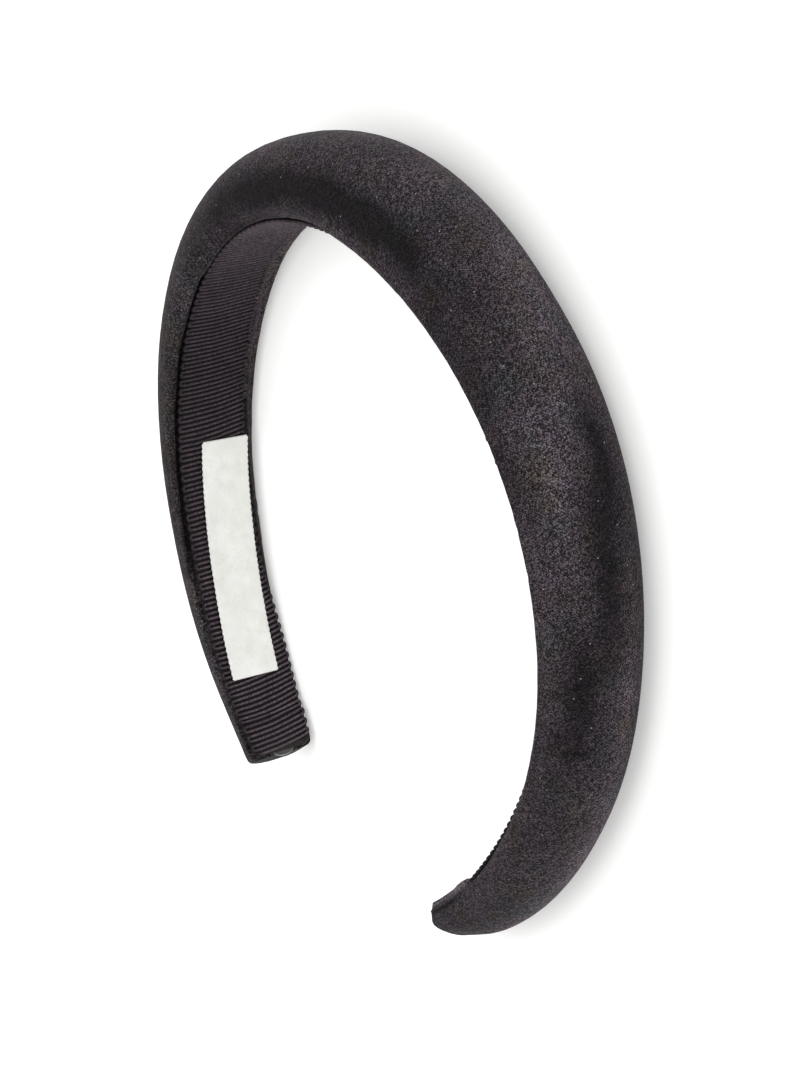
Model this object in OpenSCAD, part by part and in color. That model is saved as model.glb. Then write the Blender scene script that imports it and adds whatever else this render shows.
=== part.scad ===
// Padded headband, lying on its side.
// The arch lies in the XY plane with its crown towards +Y and its two tips towards -Y.
// The width of the band stands along Z. The part rests on the crown's side and on both arms.

/* [Arch] */
// Length of one arm along the inner face, from the middle of the crown to the tip
arm_l = 183; // [165:1:210]
// Radius of the inner face over the crown
crown_r = 84; // [70:1:100]
// Turn of the crown's stretch, in degrees to each side
crown_angle = 24; // [16:1:32]
// Radius of the inner face at the shoulders
shoulder_r = 57; // [50:1:66]
// Turn of a shoulder, in degrees
shoulder_angle = 48; // [40:1:54]
// Radius of the inner face along the sides
side_r = 64; // [56:1:76]
// Turn of a side, in degrees
side_angle = 38; // [30:1:44]
// Radius of the inner face near the tips
end_r = 112; // [90:1:140]
// Lean of the inner face, so that its upper edge stands further out, in degrees
lean_angle = 6; // [0:0.5:9]

/* [Padding] */
// Width of the pad at the crown
pad_w = 25; // [20:0.5:32]
// Thickness of the pad at the crown
pad_t = 18.5; // [14:0.5:24]
// Width of the pad just before its rounded tip
tip_w = 14; // [13.5:0.5:18]
// Thickness of the pad just before its rounded tip
tip_t = 6.5; // [5:0.5:9]
// Height of the rounded edge between the pad's side and its inner face, at the crown
edge_h = 2.2; // [1.4:0.1:3]
// Length of the rounded end at each tip
dome_l = 3; // [2:0.5:5]

/* [Lining] */
// Width of the ribbon on the inner face
ribbon_w = 16; // [14:0.5:18]
// Width of the ribbon's end at the tips
ribbon_tip_w = 13; // [12:0.5:13.5]
// Thickness of the ribbon
ribbon_t = 0.9; // [0.8:0.05:1.2]
// Length of the ribbon's end that is turned under
fold_l = 9; // [8:0.5:12]
// Length of the slope where the turned end starts
fold_slope = 2.5; // [1.5:0.5:4]
// Radius of the turned end's two corners
corner_r = 1.5; // [0.5:0.25:1.75]
// Distance of the ribbon's end from the tip of the pad
ribbon_inset = 0.75; // [0.25:0.25:2]

/* [Label] */
// Length of the label
label_l = 51; // [40:1:60]
// Width of the label
label_w = 10.5; // [9:0.5:12]
// Thickness of the label
label_t = 0.5; // [0.4:0.1:0.8]
// Distance of the label's middle from the tip of the pad, along the arm
label_from_tip = 42.5; // [40:0.5:56]
// Distance of the label's middle below the ribbon's middle
label_drop = 0.8; // [0:0.1:1.2]
// Turn of the label against the ribbon, in degrees
label_angle = 3.4; // [0:0.2:3.6]

/* [Core tips] */
// Width of the core's end
core_w = 7; // [6:0.5:8]
// Thickness of the core's end
core_t = 0.9; // [0.7:0.05:1]
// Length of the core's end that is built
core_l = 7; // [6:0.5:8]
// Distance that the core's end stands past the tip of the pad
core_proud = 0.9; // [0.4:0.1:1.4]

/* [Fit] */
// Gap between pieces that lie on each other
gap = 0.12; // [0.08:0.01:0.2]

/* [Hidden] */

// The taper of one arm. along is a share of arm_l.
// width and thick say how far the pad keeps its crown size, from 1 at the crown to 0 at the tip.
// ribbon says the same of the ribbon's width.
ALONG = 0;
WIDTH = 1;
THICK = 2;
RIBBON = 3;
TAPER = [
    // along, width, thick, ribbon
    [0.00, 1.00, 1.00, 1.00],
    [0.25, 1.04, 0.71, 1.00],
    [0.50, 0.70, 0.56, 1.00],
    [0.75, 0.36, 0.49, 1.00],
    [0.90, 0.12, 0.31, 0.75],
    [1.00, 0.00, 0.00, 0.00]];

// How square the section is: above its widest line, and at the edge below it
round_power = 2.2;
edge_power = 3;
// Size of the pad's blunt end, as a share of the section before the rounded end
blunt_share = 0.65;
// Height that the rounded end closes towards, as a share of the thickness
dome_centre = 0.3;

arm_steps = 42;
dome_steps = 4;
fold_steps = 4;
ring_points = 40;
label_steps = 24;
core_points = 48;

// The stretches of the inner face on one arm, from the crown to the tip, each an arc
crown_l = arc_length(crown_r, crown_angle);
shoulder_l = arc_length(shoulder_r, shoulder_angle);
side_l = arc_length(side_r, side_angle);
RADIUS = 0;
LENGTH = 1;
STRETCHES = [
    [crown_r, crown_l],
    [shoulder_r, shoulder_l],
    [side_r, side_l],
    [end_r, arm_l - crown_l - shoulder_l - side_l]];

function arc_length(r, angle) = r * angle * PI / 180;

// Place [x, y, heading] on the arm's inner face at the distance a from the crown.
// A heading of 0 runs along +X and grows towards -Y.
function on_arm(a, i = 0, from = [0, 0, 0]) =
    let (
        r = STRETCHES[i][RADIUS],
        last = i == len(STRETCHES) - 1,
        run = last ? a : min(a, STRETCHES[i][LENGTH]),
        turn = run / r * 180 / PI,
        to = [
            from[0] + r * (sin(from[2] + turn) - sin(from[2])),
            from[1] - r * (cos(from[2]) - cos(from[2] + turn)),
            from[2] + turn])
    last || a <= STRETCHES[i][LENGTH] ? to : on_arm(a - run, i + 1, to);

// Point of the right arm (side 1) or left arm (side -1): a along the inner face from the crown,
// v outwards from that face and h up it
function arm_point(side, a, v, h) =
    let (
        p = on_arm(a),
        out = v * cos(lean_angle) + h * sin(lean_angle),
        up = h * cos(lean_angle) - v * sin(lean_angle))
    [side * (p[0] + out * sin(p[2])), p[1] + out * cos(p[2]), up];

// Smooth curve through one column of a table whose first column rises
function table_row(table, x, i = 0) =
    i >= len(table) - 2 || x < table[i + 1][ALONG] ? i : table_row(table, x, i + 1);
function table_slope(table, column, i) =
    i == 0 ? 0 :
    let (
        j = min(i + 1, len(table) - 1),
        k = i - 1)
    (table[j][column] - table[k][column]) / (table[j][ALONG] - table[k][ALONG]);
function from_table(table, column, x) =
    let (
        i = table_row(table, x),
        span = table[i + 1][ALONG] - table[i][ALONG],
        t = (x - table[i][ALONG]) / span,
        m0 = table_slope(table, column, i) * span,
        m1 = table_slope(table, column, i + 1) * span)
    table[i][column] * (1 + t * t * (2 * t - 3)) + table[i + 1][column] * t * t * (3 - 2 * t)
    + m0 * t * (1 - t) * (1 - t) - m1 * t * t * (1 - t);

// Size between the tip's value and the crown's, at the distance a from the crown
function tapered(tip, crown, column, a) =
    tip + (crown - tip) * from_table(TAPER, column, min(1, a / arm_l));

// Share of the full section that is left in the rounded end, at the distance a from the crown
function dome_share(a) =
    let (into = max(0, (a - arm_l + dome_l) / dome_l))
    sqrt(1 - into * into * (1 - blunt_share * blunt_share));

function signed_power(x, p) = sign(x) * pow(abs(x), p);

// Section of the pad at the distance a from the crown, as [v, h] pairs round its outline
function pad_section(a) =
    let (
        w = tapered(tip_w, pad_w, WIDTH, a),
        t = tapered(tip_t, pad_t, THICK, a),
        edge = edge_h * t / pad_t,
        left = dome_share(a))
    [for (k = [0 : ring_points - 1])
        let (
            turn = 360 * k / ring_points,
            power = sin(turn) >= 0 ? 2 / round_power : 2 / edge_power,
            v = sin(turn) >= 0
                ? edge + (t - edge) * pow(sin(turn), power)
                : edge * (1 - pow(-sin(turn), power)),
            centre = t * dome_centre)
        [centre + (v - centre) * left, w / 2 * signed_power(cos(turn), power) * left]];

// Section of the ribbon at the distance a from the crown. Its turned end is twice as thick,
// with a shallow channel for the core's end.
ribbon_end = arm_l - ribbon_inset;
fold_start = ribbon_end - fold_l;
channel_w = core_w + 2 * gap;
// Width of each sloping side of the channel
channel_side = 0.4;
channel_start = arm_l + core_proud - core_l - 2 * gap;
// Width of the ribbon's rounded rim, as a share of its thickness
rim_share = 0.3;
// Depth of the core's end under the pad's inner face, which keeps it clear as the arm curves
core_seat = 1.5 * gap;
function eased(x) = let (t = max(0, min(1, x))) t * t * (3 - 2 * t);
function ribbon_depth(a) = ribbon_t * (1 + eased((a - fold_start) / fold_slope));
function channel_depth(a) =
    (core_t + gap) * eased((a - channel_start) / fold_slope + 1);
function ribbon_half(a) =
    let (into = max(0, (a - ribbon_end + corner_r) / corner_r))
    tapered(ribbon_tip_w, ribbon_w, RIBBON, a) / 2 - corner_r * (1 - sqrt(1 - into * into));
function ribbon_section(a) =
    let (
        half = ribbon_half(a),
        top = -gap,
        bottom = top - ribbon_depth(a),
        rim = ribbon_t * rim_share,
        bed = top - channel_depth(a),
        inner = channel_w / 2,
        outer = inner + channel_side)
    [
        [(top + bottom) / 2, half],
        [top, half - rim],
        [top, outer],
        [bed, inner],
        [bed, -inner],
        [top, -outer],
        [top, rim - half],
        [(top + bottom) / 2, -half],
        [bottom, rim - half],
        [bottom, half - rim]];

// Distances from the crown of one arm's sections, then the whole band's from tip to tip
pad_stops = concat(
    [for (i = [0 : arm_steps]) (arm_l - dome_l) * i / arm_steps],
    [for (i = [1 : dome_steps]) arm_l - dome_l * (1 - sin(90 * i / dome_steps))]);
fold_flat = fold_l - fold_slope - corner_r;
ribbon_stops = concat(
    [for (a = pad_stops) if (a < fold_start - fold_slope / fold_steps) a],
    [for (i = [0 : fold_steps]) fold_start + fold_slope * i / fold_steps],
    [for (i = [1 : fold_steps]) fold_start + fold_slope + fold_flat * i / fold_steps],
    [for (i = [1 : fold_steps]) ribbon_end - corner_r * (1 - sin(90 * i / fold_steps))]);
function both_arms(stops) = concat(
    [for (i = [len(stops) - 1 : -1 : 0]) -stops[i]],
    [for (i = [1 : len(stops) - 1]) stops[i]]);
function arm_of(s) = s < 0 ? -1 : 1;

pad_rings = [for (s = both_arms(pad_stops))
    [for (q = pad_section(abs(s))) arm_point(arm_of(s), abs(s), q[0], q[1])]];
ribbon_rings = [for (s = both_arms(ribbon_stops))
    [for (q = ribbon_section(abs(s))) arm_point(arm_of(s), abs(s), q[0], q[1])]];

// The label lies on the left arm's ribbon and follows its curve
label_mid = arm_l - label_from_tip;
label_rings = [for (i = [label_steps : -1 : 0])
    let (
        run = label_l * (i / label_steps - 0.5),
        top = -2 * gap - ribbon_t,
        half = label_w / 2)
    [for (q = [[0, half], [0, half / 3], [0, -half / 3], [0, -half],
               [-label_t, -half], [-label_t, -half / 3], [-label_t, half / 3], [-label_t, half]])
        arm_point(
            -1,
            label_mid + run * cos(label_angle) - q[1] * sin(label_angle),
            top + q[0],
            q[1] * cos(label_angle) + run * sin(label_angle) - label_drop)]];

// The side that the band lies on. lows holds the lowest point [y, z] of each section.
// Of all lines between a point nearer the crown and one nearer the tips, the floor is the one
// that runs lowest under the balance point.
balance_y = on_arm(arm_l / 2)[1];
function lowest(ring) =
    let (z = min([for (p = ring) p[2]]))
    [for (p = ring) if (p[2] == z) [p[1], z]][0];
lows = [for (i = [0 : 2 : len(pad_rings) - 1]) lowest(pad_rings[i])];
floor_lines = [for (p = lows) if (p[0] > balance_y) for (q = lows) if (q[0] < balance_y)
    let (slope = (p[1] - q[1]) / (p[0] - q[0]))
    [q[1] + slope * (balance_y - q[0]), slope]];
floor_height = min([for (f = floor_lines) f[0]]);
rest_tilt = -atan([for (f = floor_lines) if (f[0] == floor_height) f[1]][0]);
rested = [for (ring = pad_rings) for (p = ring)
    [p[1] * cos(rest_tilt) - p[2] * sin(rest_tilt), p[1] * sin(rest_tilt) + p[2] * cos(rest_tilt)]];
rested_y = [for (p = rested) p[0]];
lift = -min([for (p = rested) p[1]]);
middle_y = (max(rested_y) + min(rested_y)) / 2;

module lie_on_side()
{
    translate([0, -middle_y, lift])
        rotate([rest_tilt, 0, 0])
            children();
}

// Closed skin through rings of equally many points
module skin(rings)
{
    n = len(rings[0]);
    last = len(rings) - 1;
    polyhedron(
        points = [for (ring = rings) for (p = ring) p],
        faces = concat(
            [for (i = [0 : last - 1]) for (k = [0 : n - 1])
                let (m = (k + 1) % n)
                each [
                    [i * n + k, i * n + m, (i + 1) * n + m],
                    [i * n + k, (i + 1) * n + m, (i + 1) * n + k]]],
            [[for (k = [n - 1 : -1 : 0]) k]],
            [[for (k = [0 : n - 1]) last * n + k]]));
}

module velvet_pad()
{
    color("#2b282b")
        lie_on_side()
            skin(pad_rings);
}

module grosgrain_lining()
{
    color("#211d20")
        lie_on_side()
            skin(ribbon_rings);
}

module satin_label()
{
    color("#e6e7e4")
        lie_on_side()
            skin(label_rings);
}

// Round-ended plate that lies in the channel of the ribbon's turned end
module core_end()
{
    p = on_arm(arm_l + core_proud - core_l / 2);
    straight = core_l - core_w / 2;
    translate([p[0], p[1], 0])
        rotate([0, 0, -p[2]])
            rotate([-lean_angle, 0, 0])
                translate([-core_l / 2, -core_seat, 0])
                    rotate([90, 0, 0])
                        linear_extrude(core_t)
                            union()
                            {
                                translate([0, -core_w / 2])
                                    square([straight, core_w]);
                                translate([straight, 0])
                                    circle(d = core_w, $fn = core_points);
                            }
}

module core_tip_left()
{
    color("#15140f")
        lie_on_side()
            mirror([1, 0, 0])
                core_end();
}

module core_tip_right()
{
    color("#15140f")
        lie_on_side()
            core_end();
}

velvet_pad();
grosgrain_lining();
satin_label();
core_tip_left();
core_tip_right();
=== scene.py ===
import functools
import math
import bmesh
import bpy
import numpy as np
from mathutils import Matrix, Vector
from mathutils.bvhtree import BVHTree


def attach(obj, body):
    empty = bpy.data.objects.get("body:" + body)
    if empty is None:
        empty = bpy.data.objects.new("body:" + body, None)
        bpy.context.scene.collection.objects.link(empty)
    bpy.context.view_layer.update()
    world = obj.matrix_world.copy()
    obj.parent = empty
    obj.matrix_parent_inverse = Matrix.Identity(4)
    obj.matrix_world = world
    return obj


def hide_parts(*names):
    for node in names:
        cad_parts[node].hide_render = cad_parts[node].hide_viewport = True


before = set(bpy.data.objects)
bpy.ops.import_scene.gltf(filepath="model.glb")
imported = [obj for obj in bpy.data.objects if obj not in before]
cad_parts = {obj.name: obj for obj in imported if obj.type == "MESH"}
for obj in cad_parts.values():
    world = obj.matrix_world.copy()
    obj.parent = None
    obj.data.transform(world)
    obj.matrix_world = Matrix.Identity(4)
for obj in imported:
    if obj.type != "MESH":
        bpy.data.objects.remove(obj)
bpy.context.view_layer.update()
scene = bpy.context.scene
mm = 0.001

# The arch of the band, with the sizes that its solids have
band = {
    "arm": 183 * mm,  # along the inner face, from crown to tip
    "radii": [84 * mm, 57 * mm, 64 * mm, 112 * mm],  # of the inner face, from the crown on
    "turns": [24, 48, 38],  # degrees of the first three arcs
    "lean": 6,  # degrees that the upper edge leans out
    "restTurn": 2.524,  # degrees that lay it on crown and arms
    "restMove": (0, 57.79 * mm, 13.4 * mm),
    "rightShort": 1.8 * mm,  # as the photo shows the right tip
    "padWidth": (25 * mm, 14 * mm),  # at the crown and at the tip
    "padThickness": (18.5 * mm, 6.5 * mm),
    "ribbonWidth": (16 * mm, 13 * mm),
    "along": [0, 0.25, 0.5, 0.75, 0.9, 1],  # shares of the arm, for the next three rows
    "widthKept": [1, 1.04, 0.70, 0.36, 0.12, 0],
    "thicknessKept": [1, 0.71, 0.56, 0.49, 0.31, 0],
    "ribbonKept": [1, 1, 1, 1, 0.75, 0],
}
turnedArcs = [radius * math.radians(turn) for radius, turn in zip(band["radii"], band["turns"])]
arcLengths = turnedArcs + [band["arm"] - sum(turnedArcs)]


# Place and heading on the inner face, s metres from the crown's middle, negative on the left arm
def onArch(s):
    s = np.asarray(s, float)
    left = np.abs(s)
    x, y, heading = np.zeros_like(s), np.zeros_like(s), np.zeros_like(s)
    for i, (radius, length) in enumerate(zip(band["radii"], arcLengths)):
        run = left if i == len(arcLengths) - 1 else np.minimum(left, length)
        turned = heading + run / radius
        x = x + radius * (np.sin(turned) - np.sin(heading))
        y = y - radius * (np.cos(heading) - np.cos(turned))
        heading, left = turned, left - run
    return x, y, heading


# World points from s along the arch, out from its inner face and up that face
def bandPoint(s, out, up):
    s, out, up = np.broadcast_arrays(*(np.asarray(v, float) for v in (s, out, up)))
    x, y, heading = onArch(s)
    lean, rest = math.radians(band["lean"]), math.radians(band["restTurn"])
    away = out * math.cos(lean) + up * math.sin(lean)
    z = up * math.cos(lean) - out * math.sin(lean)
    x = np.where(s < 0, -1.0, 1.0) * (x + away * np.sin(heading))
    y = y + away * np.cos(heading)
    laid = [x, y * math.cos(rest) - z * math.sin(rest), y * math.sin(rest) + z * math.cos(rest)]
    return np.stack(laid, -1) + np.array(band["restMove"])


# The other way round: s, out and up of world points, by the nearest of many stops on the arch
def bandPlace(points, stopCount=800, batch=4000):
    lean, rest = math.radians(band["lean"]), math.radians(band["restTurn"])
    p = np.asarray(points, float) - np.array(band["restMove"])
    x, y = p[:, 0], p[:, 1] * math.cos(rest) + p[:, 2] * math.sin(rest)
    z = p[:, 2] * math.cos(rest) - p[:, 1] * math.sin(rest)
    stops = np.linspace(0, band["arm"] + 6 * mm, stopCount)  # a little past the tips
    archX, archY, archHeading = onArch(stops)
    s, away = np.zeros(len(p)), np.zeros(len(p))
    for start in range(0, len(p), batch):
        part = slice(start, start + batch)
        px, py = np.abs(x[part])[:, None], y[part][:, None]
        near = np.argmin((px - archX) ** 2 + (py - archY) ** 2, axis=1)
        dx, dy, heading = px[:, 0] - archX[near], py[:, 0] - archY[near], archHeading[near]
        s[part] = stops[near] + dx * np.cos(heading) - dy * np.sin(heading)
        away[part] = dx * np.sin(heading) + dy * np.cos(heading)
    s = np.where(x < 0, -s, s)
    return s, away * math.cos(lean) - z * math.sin(lean), away * math.sin(lean) + z * math.cos(lean)


# Size at s: a smooth curve through one row of shares, from the crown's size to the tip's
def tapered(sizes, row, s):
    share = np.clip(np.abs(s) / band["arm"], 0, 1)
    stops, kept = np.array(band["along"]), np.array(band[row])
    slopes = np.gradient(kept, stops, edge_order=1)
    slopes[0] = 0
    i = np.clip(np.searchsorted(stops, share, side="right") - 1, 0, len(stops) - 2)
    span = stops[i + 1] - stops[i]
    t = (share - stops[i]) / span
    value = (kept[i] * (1 + t * t * (2 * t - 3)) + kept[i + 1] * t * t * (3 - 2 * t)
             + slopes[i] * span * t * (1 - t) ** 2 - slopes[i + 1] * span * t * t * (1 - t))
    return sizes[1] + (sizes[0] - sizes[1]) * value


def eased(x):
    x = np.clip(x, 0, 1)
    return x * x * (3 - 2 * x)


# 0 up to start and most from end on, with a smooth step between. Start and end are in mm.
def rising(x, start, end, most=1):
    return most * eased((np.asarray(x) / mm - start) / (end - start))


# Most at middle, fading over reach on both sides. Middle and reach are in mm.
def closeTo(x, middle, reach, most=1):
    return most * np.exp(-((np.asarray(x) / mm - middle) / reach) ** 2)


def linear(hexColour):
    parts = [int(hexColour[i:i + 2], 16) / 255 for i in (1, 3, 5)]
    return [c / 12.92 if c <= 0.04045 else ((c + 0.055) / 1.055) ** 2.4 for c in parts] + [1]


# Adds one node with its settings and links. An operation's name alone makes a math node. Inputs go
# by name, or in order as a list: a socket is linked, a node is linked by its first output, and any
# other value is set.
def addNode(tree, kind, inputs=(), **settings):
    if kind.isupper():
        kind, settings = "ShaderNodeMath", {"operation": kind}
    node = tree.nodes.new(kind)
    for name, value in settings.items():
        setattr(node, name, value)
    for key, value in inputs.items() if isinstance(inputs, dict) else enumerate(inputs):
        if isinstance(value, bpy.types.Node):
            value = value.outputs[0]
        if isinstance(value, bpy.types.NodeSocket):
            tree.links.new(value, node.inputs[key])
        else:
            node.inputs[key].default_value = value
    return node


# A material without nodes, and addNode for its tree
def newMaterial(name):
    material = bpy.data.materials.new(name)
    material.use_nodes = True
    material.node_tree.nodes.clear()
    return material, functools.partial(addNode, material.node_tree)


# Scale that gives a wave texture one wave per pitch, since it turns 20 radians a unit
def waveScale(pitch):
    return 2 * math.pi / 20 / pitch


def coordsOf(mesh, field="co"):
    values = np.empty(len(mesh.vertices) * 3)
    mesh.vertices.foreach_get(field, values)
    return values.reshape(-1, 3)


def setCoords(mesh, co):
    mesh.vertices.foreach_set("co", np.ascontiguousarray(co, np.float32).ravel())
    mesh.update()


# Writes one number or one vector for each point, which a material or a node tree reads
def markPoints(mesh, name, values):
    kind, field = ("FLOAT", "value") if np.ndim(values) == 1 else ("FLOAT_VECTOR", "vector")
    mark = mesh.attributes.new(name, kind, "POINT")
    mark.data.foreach_set(field, np.ascontiguousarray(values, np.float32).ravel())


# Writes each point's place on the band, so that a pattern follows the arch
def markPlace(mesh):
    s, out, up = bandPlace(coordsOf(mesh))
    markPoints(mesh, "bandPlace", np.stack([s, out, up], -1))
    return s, out, up


def newPiece(name, mesh):
    piece = bpy.data.objects.new(name, mesh)
    scene.collection.objects.link(piece)
    return piece


# Makes a piece the plain mesh that its modifiers make of it
def applied(piece):
    bpy.context.view_layer.update()
    made = bpy.data.meshes.new_from_object(piece.evaluated_get(bpy.context.evaluated_depsgraph_get()))
    piece.modifiers.clear()
    old, piece.data = piece.data, made
    made.name = piece.name
    bpy.data.meshes.remove(old)


# Closed skin through rings of equally many points, with its ends filled
def skin(name, rings):
    count, n = len(rings), rings.shape[1]
    faces = [(i * n + k, i * n + (k + 1) % n, (i + 1) * n + (k + 1) % n, (i + 1) * n + k)
             for i in range(count - 1) for k in range(n)]
    faces += [tuple(reversed(range(n))), tuple((count - 1) * n + k for k in range(n))]
    mesh = bpy.data.meshes.new(name)
    mesh.from_pydata(rings.reshape(-1, 3).tolist(), [], faces)
    bm = bmesh.new()
    bm.from_mesh(mesh)
    bmesh.ops.recalc_face_normals(bm, faces=bm.faces)
    bm.to_mesh(mesh)
    bm.free()
    mesh.shade_smooth()
    return newPiece(name, mesh)


def finishPiece(piece, node, material=None):
    if material:
        piece.data.materials.clear()
        piece.data.materials.append(material)
    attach(piece, "root")
    if node:
        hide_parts(node)
    return piece


# Smooth value noise along two directions, the same on each run
def softNoise(x, y, seed, size=256):
    grid = np.random.default_rng(seed).random((size, size)) * 2 - 1
    xi, yi = np.floor(x).astype(int), np.floor(y).astype(int)
    tx, ty = eased(x - xi), eased(y - yi)
    sides = []
    for dy in (0, 1):
        near, far = (grid[(xi + dx) % size, (yi + dy) % size] for dx in (0, 1))
        sides.append(near * (1 - tx) + far * tx)
    return sides[0] * (1 - ty) + sides[1] * ty


# Crushed rayon velvet: a dark upright pile, combed a little aslant, whose tufts each lie their own
# way. To the eye it is a soft near black, greyer at its edges, with a fine crisp sparkle of grain.
# Tufts of the real pile are 0.1 mm apart, drawn at about 0.2 mm so that they show.
velvetLook = {
    "deep": "#080708",
    "purple": "#7f717d",
    "brown": "#7c6f6c",
    "slate": "#737076",
    "lint": "#a8a19d",
    "tuft": (0.24 * mm, 0.2 * mm),
    "combed": 52,  # degrees that the tufts turn from the band's length
    "open": -0.03,  # how open the pile lies where no patch says otherwise
    "leastOpen": 0.1,
    "sparkle": 2.3,  # power that leaves few tufts bright
    "glint": 0.98,  # how much the brightest tufts stand out
    "dullest": 0.05,
    "cloud": (13 * mm, 0.6),  # patches where the pile lies another way: size and depth
    "streak": ((7 * mm, 0.9 * mm), 0.4),
    "rowPitch": 0.45 * mm,  # rows of the pile, 0.2 mm apart in the real cloth
    "rowDepth": 0.6,
    "hueSize": 8 * mm,  # patches of warmer and cooler black
    "brownRange": (0.46, 0.7),  # of their noise, over which they turn brown or slate
    "slateRange": (0.48, 0.68),
    "browner": (-60 * mm, -110 * mm, 0, 0.14),  # places on the left arm, and how much there
    "lintPitch": 9 * mm,
    "lintShare": 0.016,
    "lintShows": 0.55,
    "bump": {"Strength": 0.4, "Distance": 0.25 * mm},
    "shader": {"Roughness": 0.68, "Specular IOR Level": 0.06, "Sheen Weight": 0.06,
               "Sheen Roughness": 0.3, "Sheen Tint": linear("#9c9494")},
}


def makeVelvet():
    look = velvetLook
    material, add = newMaterial("crushedRayonVelvet")
    pile = add("ShaderNodeAttribute", attribute_name="pilePlace").outputs["Vector"]
    napAndLight = add("ShaderNodeAttribute", attribute_name="napAndPaintedLight").outputs["Fac"]
    combed = (0, 0, math.radians(look["combed"]))
    tuftPlace, streakPlace = (
        add("ShaderNodeMapping", {"Vector": pile, "Rotation": combed, "Scale": (*size, 1 * mm)},
            vector_type="TEXTURE") for size in (look["tuft"], look["streak"][0]))
    cloud, streak, brownPatch, slatePatch, nub = (
        add("ShaderNodeTexNoise", {"Vector": place, "Scale": 1 / size, "Detail": detail, "W": offset},
            noise_dimensions="4D") for place, size, detail, offset in (
            (pile, look["cloud"][0], 2, 0), (streakPlace, 1, 2, 0), (pile, look["hueSize"], 1, 3),
            (pile, look["hueSize"], 1, 8), (tuftPlace, 1, 1, 5)))
    tuftCell, lintCell = (
        add("ShaderNodeTexVoronoi", {"Vector": place, "Scale": 1 / size}, voronoi_dimensions="2D")
        for place, size in ((tuftPlace, 1), (pile, look["lintPitch"])))

    # how far the pile lies open here, with the painted light and shade of its nap mark in it, and each
    # tuft's own part in it and its row's
    lieAndLight = add("MULTIPLY_ADD", [cloud, look["cloud"][1], napAndLight])
    lieAndLight = add("MULTIPLY_ADD", [streak, look["streak"][1], lieAndLight])
    lieAndLight = add("MAXIMUM", [add("ADD", [lieAndLight, look["open"]]), look["leastOpen"]])
    tuft = add("ShaderNodeSeparateColor", [tuftCell.outputs["Color"]])
    sparkle = add("POWER", [tuft, look["sparkle"]])
    sparkle = add("MULTIPLY_ADD", [sparkle, look["glint"], look["dullest"]])
    rows = add("ShaderNodeTexWave", {
        "Vector": add("ShaderNodeMapping", {"Vector": pile, "Rotation": combed}),
        "Scale": waveScale(look["rowPitch"]), "Distortion": 3, "Detail": 1, "Detail Scale": 0.3},
        bands_direction="Y").outputs["Fac"]
    rows = add("MULTIPLY_ADD", [rows, look["rowDepth"], 1 - look["rowDepth"] / 2])
    share = add("MULTIPLY", [lieAndLight, add("MULTIPLY", [sparkle, rows])])

    # patches of brown, more of them on the left arm, and of slate, then specks of lint
    farther = add("ShaderNodeMapRange", [add("ShaderNodeSeparateXYZ", [pile]), *look["browner"]])
    brownPatch = add("ADD", [brownPatch, farther])
    brownPart = add("ShaderNodeMapRange", [brownPatch, *look["brownRange"]])
    slatePart = add("ShaderNodeMapRange", [slatePatch, *look["slateRange"]])
    speck = add("LESS_THAN", [lintCell.outputs["Distance"], look["lintShare"]])
    speck = add("MULTIPLY", [speck, look["lintShows"]])
    colour = linear(look["purple"])
    for part, name in ((brownPart, "brown"), (slatePart, "slate"), (share, "deep"), (speck, "lint")):
        ends = [linear(look[name]), colour] if name == "deep" else [colour, linear(look[name])]
        colour = add("ShaderNodeMix", {"Factor": part, "A": ends[0], "B": ends[1]},
                     data_type="RGBA").outputs["Result"]
    bump = add("ShaderNodeBump", {"Height": nub, **look["bump"]})
    shader = add("ShaderNodeBsdfPrincipled", {"Base Color": colour, "Normal": bump, **look["shader"]})
    add("ShaderNodeOutputMaterial", [shader])
    return material


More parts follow.
